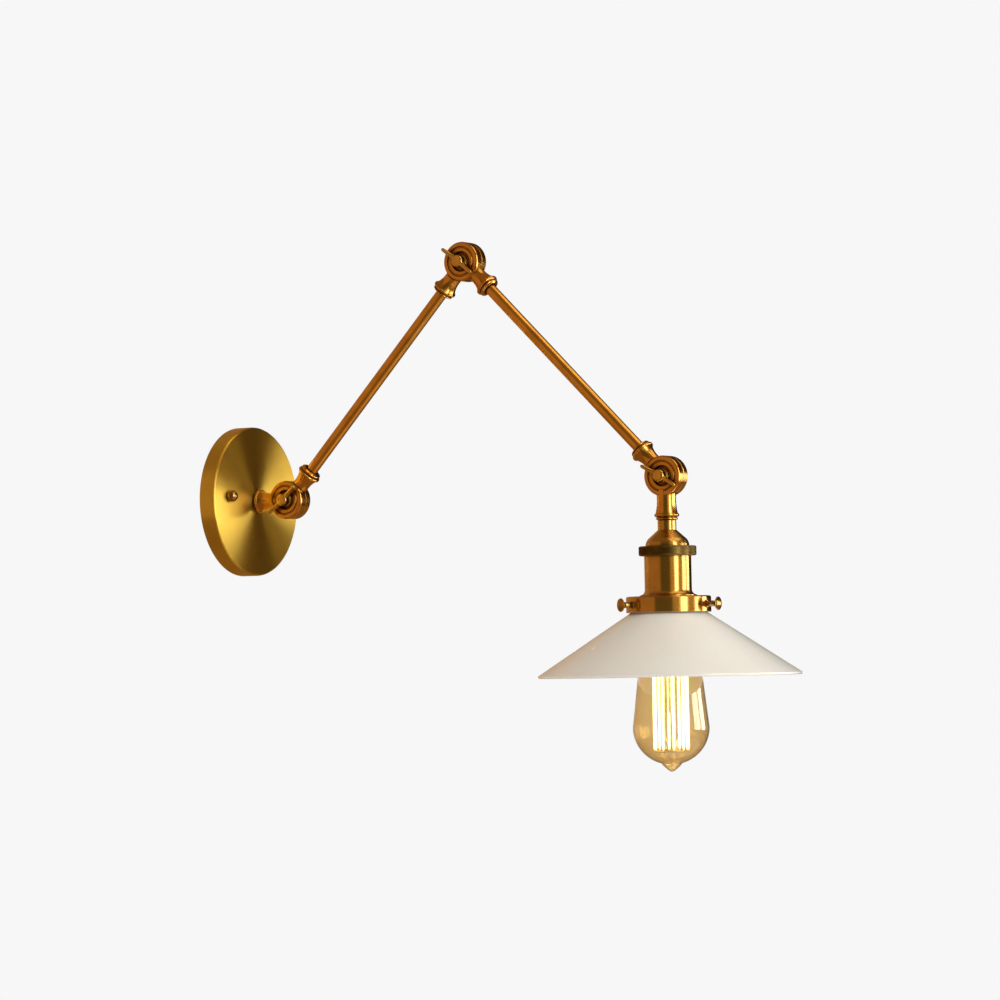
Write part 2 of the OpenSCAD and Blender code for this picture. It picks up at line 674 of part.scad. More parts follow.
// Cup that holds the glass neck, with three threaded bushes for its screws.
module gallery() color("goldenrod") {
    r = gallery_d / 2;
    edge_at = [r - gallery_edge, foot_bottom + gallery_edge];
    hole_r = liner_r + pin_gap;
    bush_r = gallery_screw_d / 2 + bush_wall;
    difference() {
        union() {
            turn_head() polygon(concat(
                [[hole_r, foot_bottom], [edge_at[0], foot_bottom]],
                arc(edge_at, gallery_edge, -80, 0, 5),
                [[r, gallery_bottom - corner], [r - corner, gallery_bottom],
                 [r - sheet, gallery_bottom], [r - sheet, edge_at[1]]],
                [[edge_at[0] - hole_gap, foot_bottom + sheet], [hole_r, foot_bottom + sheet]]));
            for (turn = screw_turns) gallery_side(turn)
                translate([0, 0, r - sheet / 2]) cylinder(r = bush_r, h = sheet / 2 + bush_len);
        }
        for (turn = screw_turns) gallery_side(turn)
            translate([0, 0, r - 3]) cylinder(d = gallery_screw_d + 2 * pin_gap, h = 6);
    }
}

module gallery_ring_nut() color("goldenrod") turn_head() polygon([
    [liner_r + seat_gap, foot_bottom + sheet], [liner_r + 6.5, foot_bottom + sheet],
    [liner_r + 6.5, foot_bottom + sheet + 2], [liner_r + 2.2, foot_bottom + sheet + 3],
    [liner_r + 2.2, foot_bottom + sheet + 9], [liner_r + seat_gap, foot_bottom + sheet + 9]]);

// Thumb screw: a flared round head on a thin shank whose tip bears on the glass neck.
module gallery_screw(turn) color("darkgoldenrod") gallery_side(turn) {
    tip = glass_neck_d / 2 + 0.3;
    shank_r = gallery_screw_d / 2;
    head_r = gallery_head_d / 2;
    foot = gallery_reach - gallery_head_h;
    rotate_extrude() polygon(concat(
        [[0, tip], [shank_r - 0.5, tip], [shank_r, tip + 0.6], [shank_r, foot],
         [shank_r + 1.1, foot + 0.5], [head_r - 0.6, foot + 2.1]],
        arc([head_r - 0.5, foot + 2.6], 0.5, -60, 60, 4),
        [[head_r - 2, gallery_reach - 0.6], [1.6, gallery_reach], [0, gallery_reach]]));
}
module gallery_screw_front() gallery_screw(screw_turns[0]);
module gallery_screw_back() gallery_screw(screw_turns[1]);
module gallery_screw_side() gallery_screw(screw_turns[2]);

// Opal glass cone with a lipped neck and a rounded rim.
module glass_shade() color("whitesmoke") {
    neck_r = glass_neck_d / 2;
    lip_r = gallery_d / 2 - sheet - 0.8;
    top = foot_bottom + sheet + 0.3;
    rim_r = shade_d / 2;
    shoulder_r = neck_r + 1.2;
    slope = atan2(rim_r - shoulder_r, shade_h);
    wall_dr = glass_t * cos(slope);
    wall_dz = glass_t * sin(slope);
    rim_round = glass_t / 2;
    rim_mid = [rim_r - rim_round, rim_level - rim_round];
    turn_head() polygon(concat(
        [[neck_r - glass_t, top], [lip_r - 0.6, top], [lip_r, top + 0.6],
         [lip_r, top + 1.6], [neck_r, top + 2.6], [neck_r, gallery_bottom - 0.4],
         [shoulder_r, gallery_bottom + 0.5]],
        arc(rim_mid, rim_round, slope - 90 + 15, slope + 90, 8),
        [[shoulder_r - wall_dr - 0.6, gallery_bottom + wall_dz + 0.5],
         [neck_r - glass_t, gallery_bottom + 0.2]]));
}

// Bulb

bulb_r = bulb_d / 2;
// The rounded end below the widest point, the sealed-off tip on it, and the throat's radius.
bulb_end_h = 31;
bulb_nub_h = 5.9;
throat_r = 13.4;
belly = bulb_tip - bulb_nub_h - bulb_end_h;
glass_start = cap_bottom - 2;
// How far the glass has widened, from t = 0 at the throat to t = 1 at the belly.
function bulb_swell(t) = 0.5 * t + 0.25 * (1 - cos(180 * min(1, 2 * t)));
// Outline of the bulb's glass as [radius, depth below the head pivot].
function bulb_profile(inset) = concat(
    [[bulb_cap_d / 2 - 0.9 - inset, glass_start],
     [bulb_cap_d / 2 - 0.9 - inset, cap_bottom + 0.2]],
    [for (i = [0:14]) let (t = i / 14)
        [throat_r - inset + (bulb_r - throat_r) * bulb_swell(t),
         cap_bottom + 1 + (belly - cap_bottom - 1) * t]],
    [for (i = [1:8]) let (a = i * 9.3)
        [(bulb_r - inset) * cos(a), belly + (bulb_end_h - inset) * sin(a)]]);

module bulb_glass() color("orange", 0.5) turn_head() difference() {
    polygon(concat([[0, glass_start]], bulb_profile(0),
                   [[bulb_r * 0.18, bulb_tip - bulb_nub_h * 0.6],
                    [bulb_r * 0.07, bulb_tip - bulb_nub_h * 0.12], [0, bulb_tip]]));
    polygon(concat([[0, glass_start - 1], [bulb_cap_d / 2 - 0.9 - bulb_t, glass_start - 1]],
                   bulb_profile(bulb_t), [[0, bulb_tip - bulb_nub_h + bulb_t]]));
}

// Screw cap with rolled threads, closed by a shoulder at the top.
module bulb_cap() color("gold") {
    r = bulb_cap_d / 2;
    turns = 4;
    pitch = 4.2;
    first = bulb_contact + 5.4;
    thread = [for (i = [0:turns * 6]) let (z = first + i * pitch / 6)
        [r - 0.75 + 0.75 * cos(60 * i), z]];
    wall = 0.5;
    turn_head() polygon(concat(
        [[6.8, bulb_contact + 2.4], [r - 2.6, first - 1.4]],
        thread,
        [[r, cap_bottom - 2.6], [r, cap_bottom], [r - wall, cap_bottom],
         [r - wall, cap_bottom - 3.4]],
        [[r - 2.1, cap_bottom - 4.4], [r - 2.1, first + 0.6], [r - 3.2, first - 0.8],
         [6.8, bulb_contact + 3.2]]));
}

module bulb_cap_insulator() color("black") turn_head() polygon([
    [4.8, bulb_contact + 1], [6.75, bulb_contact + 2.2], [6.75, bulb_contact + 3.3],
    [9.4, bulb_contact + 4.6], [4.8, bulb_contact + 4.6]]);

module bulb_contact_button() color("silver") turn_head() polygon(concat(
    [[0, bulb_contact + 0.05], [2, bulb_contact + 0.2], [4.75, bulb_contact + 1]],
    [[4.75, bulb_contact + 4.6], [0, bulb_contact + 4.6]]));

// Glass stem with its flare, which carries the two rings of filament hooks.
stem_r = 3;
stem_end = belly - 12;
upper_hooks = cap_bottom + 20;
lower_hooks = belly + 20;
cage_top_r = 15;
cage_low_r = 15.5;
module bulb_stem() color("khaki") turn_head() polygon([
    [0, glass_start + 0.5], [bulb_cap_d / 2 - 0.95 - bulb_t, glass_start + 0.5],
    [bulb_cap_d / 2 - 1.2 - bulb_t, glass_start + 2.5], [stem_r + 2, glass_start + 9],
    [stem_r, glass_start + 15], [stem_r, stem_end - 2], [stem_r - 1, stem_end],
    [0, stem_end]]);

function cage_point(i, r, depth) =
    let (turn = (i + 0.5) * 360 / strand_count)
    head + [r * cos(turn), r * sin(turn), -depth];

// Hooks of molybdenum wire: an upper ring on the stem and a lower one on a centre wire.
hook_d = 0.5;
module hook(from, to) {
    reach = to - from;
    translate(from) rotate([0, acos(reach[2] / norm(reach)), atan2(reach[1], reach[0])])
        cylinder(d = hook_d, h = norm(reach), $fn = 48);
}
module filament_supports() color("gray") {
    translate(head - [0, 0, lower_hooks])
        cylinder(d = 2 * hook_d, h = lower_hooks - stem_end, $fn = 48);
    translate(head - [0, 0, lower_hooks]) sphere(d = 4 * hook_d);
    for (i = [0:strand_count - 1]) {
        hook(cage_point(i, stem_r + seat_gap, upper_hooks),
             cage_point(i, cage_top_r, upper_hooks));
        hook(cage_point(i, 0.3, lower_hooks), cage_point(i, cage_low_r, lower_hooks));
    }
}

// One filament laced up and down between the hooks.
filament_d = 0.7;
module strand(from, to) {
    reach = to - from;
    translate(from) rotate([0, acos(reach[2] / norm(reach)), atan2(reach[1], reach[0])])
        cylinder(d = filament_d, h = norm(reach), $fn = 48);
}
module bulb_filament() color("gold") {
    gap = hook_d / 2 + filament_d / 2 + 0.1;
    tops = [for (i = [0:strand_count - 1]) cage_point(i, cage_top_r, upper_hooks + gap)];
    lows = [for (i = [0:strand_count - 1]) cage_point(i, cage_low_r, lower_hooks - gap)];
    for (i = [0:strand_count - 1]) {
        strand(tops[i], lows[i]);
        for (bend = [tops[i], lows[i]]) translate(bend)
            sphere(d = filament_d * 1.15, $fn = 48);
        if (i < strand_count - 1)
            strand(i % 2 == 0 ? lows[i] : tops[i], i % 2 == 0 ? lows[i + 1] : tops[i + 1]);
    }
}

backplate();
wall_bracket();
face_screws();
terminal_block();
earth_screw();
wall_nipple();
nipple_washer();
nipple_locknut();
wall_knuckle();
wall_wires();
base_friction_washer();
base_wing_screw();
lower_arm_root();
lower_arm_tube();
lower_arm_tip();
lower_arm_wires();
elbow_friction_washer();
elbow_wing_screw();
upper_arm_root();
upper_arm_tube();
upper_arm_tip();
upper_arm_wires();
head_friction_washer();
head_wing_screw();
head_knuckle();
holder_nipple();
holder_cap();
knurled_ring();
holder_shell();
holder_core();
holder_liner();
screw_shell();
centre_contact();
head_wires();
gallery();
gallery_ring_nut();
gallery_screw_front();
gallery_screw_back();
gallery_screw_side();
glass_shade();
bulb_glass();
bulb_cap();
bulb_cap_insulator();
bulb_contact_button();
bulb_stem();
filament_supports();
bulb_filament();
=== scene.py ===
"""Looks of the adjustable brass wall lamp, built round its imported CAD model."""

import math

import bpy
from mathutils import Matrix, Vector


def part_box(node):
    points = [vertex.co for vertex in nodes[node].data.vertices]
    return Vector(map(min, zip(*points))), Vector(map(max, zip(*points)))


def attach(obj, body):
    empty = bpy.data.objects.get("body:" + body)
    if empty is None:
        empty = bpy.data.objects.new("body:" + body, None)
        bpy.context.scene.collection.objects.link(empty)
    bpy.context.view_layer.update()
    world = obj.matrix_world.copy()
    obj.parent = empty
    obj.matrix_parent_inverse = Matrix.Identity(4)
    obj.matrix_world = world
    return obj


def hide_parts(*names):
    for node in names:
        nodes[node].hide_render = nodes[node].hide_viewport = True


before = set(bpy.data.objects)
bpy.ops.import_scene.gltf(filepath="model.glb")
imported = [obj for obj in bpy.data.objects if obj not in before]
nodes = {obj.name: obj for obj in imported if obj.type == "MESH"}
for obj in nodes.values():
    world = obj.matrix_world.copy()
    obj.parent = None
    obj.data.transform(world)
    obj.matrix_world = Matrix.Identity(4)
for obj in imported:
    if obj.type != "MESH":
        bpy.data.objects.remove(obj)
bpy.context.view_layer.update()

# Camera and studio
# The camera stands 3.5 m off, right of square on and a little below the lamp's middle.
# A pale floor, three softboxes and cards that only reflections show make up the room.
view_azimuth = math.radians(30.68)
view_rise = math.radians(-2.19)
view_roll = math.radians(-1.115)
view_distance = 3.5
sensor_width = 36
lens_length = 147
lamp_middle = Vector((0.2669, 0, -0.0077))

to_camera = Vector((math.sin(view_azimuth) * math.cos(view_rise),
                    -math.cos(view_azimuth) * math.cos(view_rise),
                    math.sin(view_rise)))
level_right = Vector((math.cos(view_azimuth), math.sin(view_azimuth), 0))
level_up = to_camera.cross(level_right)
camera_right = level_right * math.cos(view_roll) + level_up * math.sin(view_roll)
camera_up = level_up * math.cos(view_roll) - level_right * math.sin(view_roll)
camera_turn = Matrix((camera_right, camera_up, to_camera)).transposed()

bpy.ops.object.select_all(action="DESELECT")
bpy.ops.object.camera_add()
camera = bpy.context.object
camera.matrix_world = (Matrix.Translation(lamp_middle + view_distance * to_camera)
                       @ camera_turn.to_4x4())
camera.data.sensor_width = sensor_width
camera.data.lens = lens_length
bpy.context.scene.camera = camera
bpy.context.scene.view_settings.view_transform = "Standard"


def fill(node, **values):
    """Sets a node's inputs by name, with _ for a space; in_N means input number N."""
    for key, value in values.items():
        which = int(key[3:]) if key.startswith("in_") else key.replace("_", " ")
        node.inputs[which].default_value = value


def add_node(tree, kind, **settings):
    """A new node. Settings with a capital, or in_N, fill inputs; the rest are its own."""
    made = tree.nodes.new(kind)
    for key, value in settings.items():
        if key.startswith("in_") or key[0].isupper():
            fill(made, **{key: value})
        else:
            setattr(made, key, value)
    return made


def join(tree, *links):
    """Links nodes, each link given as (node, its output, next node, its input)."""
    for source, output, target, place in links:
        tree.links.new(source.outputs[output], target.inputs[place])


def new_material(name, **values):
    """A material, its node tree and its shader, with the shader's inputs filled in."""
    material = bpy.data.materials.new(name)
    material.use_nodes = True
    shader = material.node_tree.nodes["Principled BSDF"]
    fill(shader, **values)
    return material, material.node_tree, shader


# The pale surroundings: the camera, metal and glass see them at full strength.
studio_white = 0.93
fill_level = 0.50
world = bpy.data.worlds.new("studio_surroundings")
bpy.context.scene.world = world
world.use_nodes = True
world_tree = world.node_tree
world_tree.nodes.clear()
rays = add_node(world_tree, "ShaderNodeLightPath")
seen = add_node(world_tree, "ShaderNodeMath", operation="MAXIMUM")
seen_or_through = add_node(world_tree, "ShaderNodeMath", operation="MAXIMUM")
level = add_node(world_tree, "ShaderNodeMapRange", To_Min=fill_level, To_Max=1.0)
sky = add_node(world_tree, "ShaderNodeBackground",
               Color=(studio_white, studio_white, studio_white, 1))
world_out = add_node(world_tree, "ShaderNodeOutputWorld")
join(world_tree,
     (rays, "Is Camera Ray", seen, 0),
     (rays, "Is Glossy Ray", seen, 1),
     (seen, 0, seen_or_through, 0),
     (rays, "Is Transmission Ray", seen_or_through, 1),
     (seen_or_through, 0, level, "Value"),
     (level, "Result", sky, "Strength"),
     (sky, "Background", world_out, "Surface"))

# The floor's paint glows a little, for the camera alone, to look as pale as the sky.
floor_level = -0.8
floor_radius = 3.0
floor_glow = 0.25
bpy.ops.mesh.primitive_circle_add(vertices=96, radius=floor_radius, fill_type="NGON",
                                  location=(lamp_middle.x, 0, floor_level))
floor = bpy.context.object
floor.name = "studio_floor"
paint, paint_tree, paint_shader = new_material(
    "floor_paint", Base_Color=(0.9, 0.9, 0.9, 1), Roughness=0.9,
    Emission_Color=(1, 1, 1, 1))
paint_rays = add_node(paint_tree, "ShaderNodeLightPath")
paint_glow = add_node(paint_tree, "ShaderNodeMath", operation="MULTIPLY", in_1=floor_glow)
join(paint_tree,
     (paint_rays, "Is Camera Ray", paint_glow, 0),
     (paint_glow, 0, paint_shader, "Emission Strength"))
floor.data.materials.append(paint)


def heading(turn):
    """Level direction that lies turn degrees to the right of the way to the camera."""
    angle = view_azimuth + math.radians(turn)
    return Vector((math.sin(angle), -math.cos(angle), 0))


def softbox(name, turn, rise, reach, width, height, power, tint):
    """A rectangular light that faces the lamp's middle and shows nowhere itself."""
    bpy.ops.object.light_add(type="AREA")
    lamp = bpy.context.object
    lamp.name = name
    lamp.data.shape = "RECTANGLE"
    lamp.data.size, lamp.data.size_y = width, height
    lamp.data.energy = power
    lamp.data.color = tint
    out = heading(turn) * math.cos(math.radians(rise))
    out.z = math.sin(math.radians(rise))
    lamp.location = lamp_middle + reach * out
    lamp.rotation_euler = out.to_track_quat("Z", "Y").to_euler()
    lamp.visible_camera = False
    lamp.visible_glossy = False


softbox("near_light", turn=42, rise=12, reach=2.0, width=0.62, height=1.25, power=15,
        tint=(1.0, 0.97, 0.90))
softbox("side_light", turn=90, rise=12, reach=2.0, width=0.80, height=1.25, power=19,
        tint=(1.0, 0.97, 0.92))
softbox("warm_fill", turn=-75, rise=25, reach=2.4, width=1.2, height=1.2, power=9,
        tint=(1.0, 0.80, 0.56))


def draw_path(name, points):
    """A new piece, left in edit mode: one vertex drawn out from point to point."""
    bpy.ops.object.select_all(action="DESELECT")
    bpy.ops.mesh.primitive_plane_add(size=0.01, location=(0, 0, 0))
    piece = bpy.context.object
    piece.name = name
    bpy.ops.object.mode_set(mode="EDIT")
    bpy.ops.mesh.select_mode(type="VERT")
    bpy.ops.mesh.merge(type="CENTER")
    bpy.ops.transform.translate(value=points[0])
    for start, end in zip(points, points[1:]):
        bpy.ops.mesh.extrude_vertices_move(TRANSFORM_OT_translate={"value": end - start})
    return piece


card_step = 4  # degrees


def spun_card(name, first, last, near, far, color, strength=1.0):
    """A glowing card from first to last degrees round the lamp, shown by reflections only.

    Its edge runs from near to far, each a distance from the lamp's axis and a height."""
    edge = [Vector((lamp_middle.x, 0, height)) + reach * heading(first)
            for reach, height in (near, far)]
    card = draw_path(name, edge)
    bpy.ops.mesh.select_all(action="SELECT")
    bpy.ops.mesh.spin(steps=max(2, int((last - first) / card_step)),
                      angle=math.radians(first - last), center=lamp_middle, axis=(0, 0, 1))
    bpy.ops.object.mode_set(mode="OBJECT")
    cloth = bpy.data.materials.new(name)
    cloth.use_nodes = True
    cloth.node_tree.nodes.clear()
    glow = add_node(cloth.node_tree, "ShaderNodeEmission", Color=(*color, 1),
                    Strength=strength)
    cloth_out = add_node(cloth.node_tree, "ShaderNodeOutputMaterial")
    join(cloth.node_tree, (glow, 0, cloth_out, "Surface"))
    card.data.materials.append(cloth)
    card.visible_camera = False
    card.visible_diffuse = False
    card.visible_transmission = False
    card.visible_shadow = False
    card.visible_volume_scatter = False
    return card


# Dark and warm walls, a floor and a ceiling, then the glows and the windows before them.
foot, top = (2.3, -0.75), (2.3, 1.7)
for name, first, last, near, far, color in (
        ("warm_wall", -180, -36, foot, top, (0.46, 0.25, 0.10)),
        ("olive_wall_front", -36, 12, foot, top, (0.12, 0.10, 0.045)),
        ("gold_wall_near", 12, 69, foot, top, (0.60, 0.44, 0.20)),
        ("brown_wall_side", 69, 120, foot, top, (0.10, 0.055, 0.022)),
        ("dark_wall_back", 120, 180, foot, top, (0.030, 0.018, 0.010)),
        ("ceiling_card", 0, 360, (0.01, 1.7), top, (0.26, 0.15, 0.06)),
        ("ground_card", 0, 360, (0.01, -0.76), foot, (0.26, 0.14, 0.05))):
    spun_card(name, first, last, near, far, color)
for name, first, last in (("ceiling_glow_near", 28, 54), ("ceiling_glow_side", 68, 112)):
    spun_card(name, first, last, (0.35, 1.66), (1.9, 1.66), (0.95, 0.74, 0.44), 1.9)
spun_card("ground_glow", 10, 118, (0.12, -0.74), (1.1, -0.74), (0.95, 0.66, 0.38), 0.7)
# The windows show through the bulb's glass too.
for name, first, last, sill, head, strength in (
        ("near_window", 33, 50, (2.0, -0.50), (2.0, 1.25), 5.2),
        ("side_window_near", 70, 90, (1.1, -0.30), (1.1, 0.18), 4.6),
        ("side_window_far", 95, 113, (1.1, -0.30), (1.1, 0.14), 4.6)):
    window = spun_card(name, first, last, sill, head, (1.0, 0.97, 0.90), strength)
    window.visible_transmission = True

# Backplate
# A dish spun from sheet brass, with a rolled edge and a shallow dome.
# Its face is brushed in circles and then lacquered; the lacquer warms with age.


def new_group(name, inputs, outputs):
    """A shader node group; inputs are (kind, name, default), outputs (kind, name)."""
    group = bpy.data.node_groups.new(name, "ShaderNodeTree")
    kinds = {"color": "NodeSocketColor", "value": "NodeSocketFloat",
             "vector": "NodeSocketVector"}
    for kind, label, default in inputs:
        socket = group.interface.new_socket(name=label, in_out="INPUT",
                                            socket_type=kinds[kind])
        if default is not None:
            socket.default_value = default
    for kind, label in outputs:
        group.interface.new_socket(name=label, in_out="OUTPUT", socket_type=kinds[kind])
    return group, add_node(group, "NodeGroupInput"), add_node(group, "NodeGroupOutput")


# Old lacquer over metal: warm patches of tarnish, painted shade that darkens grooves and
# recesses (with some patina there), and a roughness that follows them.
aging_and_shade, given, result = new_group(
    "aged_lacquer_and_groove_shade",
    [("color", "Metal", (0.8, 0.5, 0.1, 1)), ("color", "Tarnish", (0.2, 0.1, 0.02, 1)),
     ("value", "Patches", 0.3), ("value", "Patch Size", 0.01), ("value", "Groove", 0.6),
     ("value", "Groove Width", 0.003), ("value", "Dullness", 0.2)],
    [("color", "Color"), ("value", "Roughness"), ("value", "Height")])
place = add_node(aging_and_shade, "ShaderNodeTexCoord")
spread = add_node(aging_and_shade, "ShaderNodeMath", operation="DIVIDE", in_0=1.0)
cloud = add_node(aging_and_shade, "ShaderNodeTexNoise", Detail=5.0, Roughness=0.62)
cloud_range = add_node(aging_and_shade, "ShaderNodeMapRange", From_Min=0.38, From_Max=0.72)
speck = add_node(aging_and_shade, "ShaderNodeTexNoise", Scale=1400.0, Detail=3.0)
# Ambient occlusion here paints shade into grooves and recesses, where some patina also
# gathers.
hollow = add_node(aging_and_shade, "ShaderNodeAmbientOcclusion", samples=8, only_local=False)
hollow_range = add_node(aging_and_shade, "ShaderNodeMapRange", From_Min=0.92, From_Max=0.50)
cloud_part = add_node(aging_and_shade, "ShaderNodeMath", operation="MULTIPLY")
groove_shade_part = add_node(aging_and_shade, "ShaderNodeMath", operation="MULTIPLY")
whole = add_node(aging_and_shade, "ShaderNodeMath", operation="ADD", use_clamp=True)
tone = add_node(aging_and_shade, "ShaderNodeMix", data_type="RGBA")
matt = add_node(aging_and_shade, "ShaderNodeMath", operation="MULTIPLY_ADD", in_1=0.22)
matt_speck = add_node(aging_and_shade, "ShaderNodeMath", operation="MULTIPLY_ADD", in_1=0.06)
join(aging_and_shade,
     (given, "Patch Size", spread, 1),
     (spread, 0, cloud, "Scale"),
     (place, "Object", cloud, "Vector"),
     (place, "Object", speck, "Vector"),
     (cloud, 0, cloud_range, "Value"),
     (cloud_range, 0, cloud_part, 0),
     (given, "Patches", cloud_part, 1),
     (given, "Groove Width", hollow, "Distance"),
     (hollow, "AO", hollow_range, "Value"),
     (hollow_range, 0, groove_shade_part, 0),
     (given, "Groove", groove_shade_part, 1),
     (cloud_part, 0, whole, 0),
     (groove_shade_part, 0, whole, 1),
     (whole, 0, tone, "Factor"),
     (given, "Metal", tone, "A"),
     (given, "Tarnish", tone, "B"),
     (tone, "Result", result, "Color"),
     (whole, 0, matt, 0),
     (given, "Dullness", matt, 2),
     (speck, 0, matt_speck, 0),
     (matt, 0, matt_speck, 2),
     (matt_speck, 0, result, "Roughness"),
     (speck, 0, result, "Height"))

# Fine marks left by a brush or a turning tool; they run where the vector changes slowly.
marks, given, result = new_group(
    "tool_marks", [("vector", "Vector", None), ("value", "Fineness", 1.0)],
    [("value", "Height")])
fine = add_node(marks, "ShaderNodeTexNoise", Detail=3.0, Roughness=0.55)
broad = add_node(marks, "ShaderNodeTexNoise", Detail=2.0, Roughness=0.5)
slower = add_node(marks, "ShaderNodeMath", operation="MULTIPLY", in_1=0.16)
both = add_node(marks, "ShaderNodeMath", operation="MULTIPLY_ADD", in_1=0.6)
join(marks,
     (given, "Vector", fine, "Vector"),
     (given, "Vector", broad, "Vector"),
     (given, "Fineness", fine, "Scale"),
     (given, "Fineness", slower, 0),
     (slower, 0, broad, "Scale"),
     (broad, 0, both, 0),
     (fine, 0, both, 2),
     (both, 0, result, "Height"))
mark_height = 0.0002  # metres


def aged_metal_with_groove_shade(name, metal, tarnish, patches=0.3, patch_size=0.012, groove=0.6,
               groove_width=0.003, dullness=0.2, bump=0.06, lacquer=0.0):
    """Metal under old lacquer, with painted shade in its grooves. Returns the material,
    its tree, shader and relief node.
    """
    material, tree, shader = new_material(name, Metallic=1.0, Coat_Weight=lacquer,
                                          Coat_Roughness=0.06)
    skin = add_node(tree, "ShaderNodeGroup", node_tree=aging_and_shade, Metal=(*metal, 1),
                    Tarnish=(*tarnish, 1), Patches=patches, Patch_Size=patch_size,
                    Groove=groove, Groove_Width=groove_width, Dullness=dullness)
    relief = add_node(tree, "ShaderNodeBump", Strength=bump, Distance=mark_height)
    join(tree,
         (skin, "Color", shader, "Base Color"),
         (skin, "Roughness", shader, "Roughness"),
         (skin, "Height", relief, "Height"),
         (relief, "Normal", shader, "Normal"))
    return material, tree, shader, relief


def brush(parts, direction, fineness, depth):
    """Lays tool marks that follow the direction node over a metal's own relief."""
    material, tree, shader, relief = parts
    lines = add_node(tree, "ShaderNodeGroup", node_tree=marks, Fineness=fineness)
    scratch = add_node(tree, "ShaderNodeBump", Strength=depth, Distance=mark_height)
    join(tree,
         (direction, 0, lines, "Vector"),
         (lines, "Height", scratch, "Height"),
         (relief, "Normal", scratch, "Normal"),
         (scratch, "Normal", shader, "Normal"))
    return material


def finish_nodes(material, *names):
    """Gives CAD nodes their finished material."""
    for name in names:
        nodes[name].data.materials.clear()
        nodes[name].data.materials.append(material)


# Its darkening round the foot of the knuckle's neck is a painted shadow.
plate_parts = aged_metal_with_groove_shade("plate_brass", (0.82, 0.55, 0.09), (0.34, 0.15, 0.025),
                         patches=0.25, patch_size=0.05, groove=0.5, dullness=0.29,
                         bump=0.03)
plate_tree, plate_shader = plate_parts[1:3]
plate_place = add_node(plate_tree, "ShaderNodeTexCoord")
plate_flat = add_node(plate_tree, "ShaderNodeVectorMath", operation="MULTIPLY",
                      in_1=(0, 1, 1))
plate_radius = add_node(plate_tree, "ShaderNodeVectorMath", operation="LENGTH")
plate_rings = add_node(plate_tree, "ShaderNodeCombineXYZ")
round_the_plate = add_node(plate_tree, "ShaderNodeTangent", direction_type="RADIAL",
                           axis="X")
fill(plate_shader, Anisotropic=0.97, Anisotropic_Rotation=0.25)
join(plate_tree,
     (plate_place, "Object", plate_flat, 0),
     (plate_flat, 0, plate_radius, 0),
     (plate_radius, "Value", plate_rings, 0),
     (round_the_plate, 0, plate_shader, "Tangent"))
finish_nodes(brush(plate_parts, plate_rings, fineness=2600, depth=0.10), "backplate")

# Face screws
# Two brass screws with ball heads, turned by hand or by a pin.
# They pass through the plate into the raised ends of the bracket.
# The dark ring round each ball's foot is painted shade.
button_brass = aged_metal_with_groove_shade("button_brass", (0.44, 0.27, 0.10), (0.08, 0.04, 0.015),
                          patches=0.3, patch_size=0.004, groove=0.9, dullness=0.16)[0]
finish_nodes(button_brass, "face_screws")

# Bracket, terminal block and hollow nipples
# A zinc-plated steel strip is screwed to the wall and carries the plate and the wires.
# The wall knuckle's nipple is clamped to the plate by a washer and a locknut.


def plated_steel(name, color, dullness, patch_size):
    """Zinc plate with its cloudy spangle."""
    return aged_metal_with_groove_shade(name, color, tuple(0.55 * c for c in color), patches=0.5,
                      patch_size=patch_size, groove=0.4, dullness=dullness, bump=0.05)[0]


zinc_plate = plated_steel("zinc_plate", (0.62, 0.63, 0.60), 0.34, 0.006)
finish_nodes(zinc_plate, "wall_bracket", "wall_nipple", "nipple_washer", "nipple_locknut",
             "holder_nipple")


def moulded(name, color, roughness, grain=900.0, relief_depth=0.08, coat=0.0):
    """Moulded plastic, fibre or glaze: a soft mottle and a fine grain."""
    material, tree, shader = new_material(name, Coat_Weight=coat)
    place = add_node(tree, "ShaderNodeTexCoord")
    mottle = add_node(tree, "ShaderNodeTexNoise", Scale=160.0, Detail=4.0)
    pores = add_node(tree, "ShaderNodeTexNoise", Scale=grain, Detail=3.0)
    tint = add_node(tree, "ShaderNodeMix", data_type="RGBA", A=(*color, 1),
                    B=(*(0.72 * c for c in color), 1))
    gloss = add_node(tree, "ShaderNodeMapRange", To_Min=roughness - 0.06,
                     To_Max=roughness + 0.10)
    relief = add_node(tree, "ShaderNodeBump", Strength=relief_depth, Distance=0.0003)
    join(tree,
         (place, "Object", mottle, "Vector"),
         (place, "Object", pores, "Vector"),
         (mottle, 0, tint, "Factor"),
         (tint, "Result", shader, "Base Color"),
         (mottle, 0, gloss, "Value"),
         (gloss, 0, shader, "Roughness"),
         (pores, 0, relief, "Height"),
         (relief, "Normal", shader, "Normal"))
    return material


ivory_plastic = moulded("ivory_plastic", (0.78, 0.72, 0.58), 0.42)
finish_nodes(ivory_plastic, "terminal_block")
finish_nodes(button_brass, "earth_screw")
wire_cover = moulded("braided_cover", (0.30, 0.075, 0.03), 0.6, grain=2400.0,
                     relief_depth=0.4)
finish_nodes(wire_cover, "wall_wires", "lower_arm_wires", "upper_arm_wires", "head_wires")

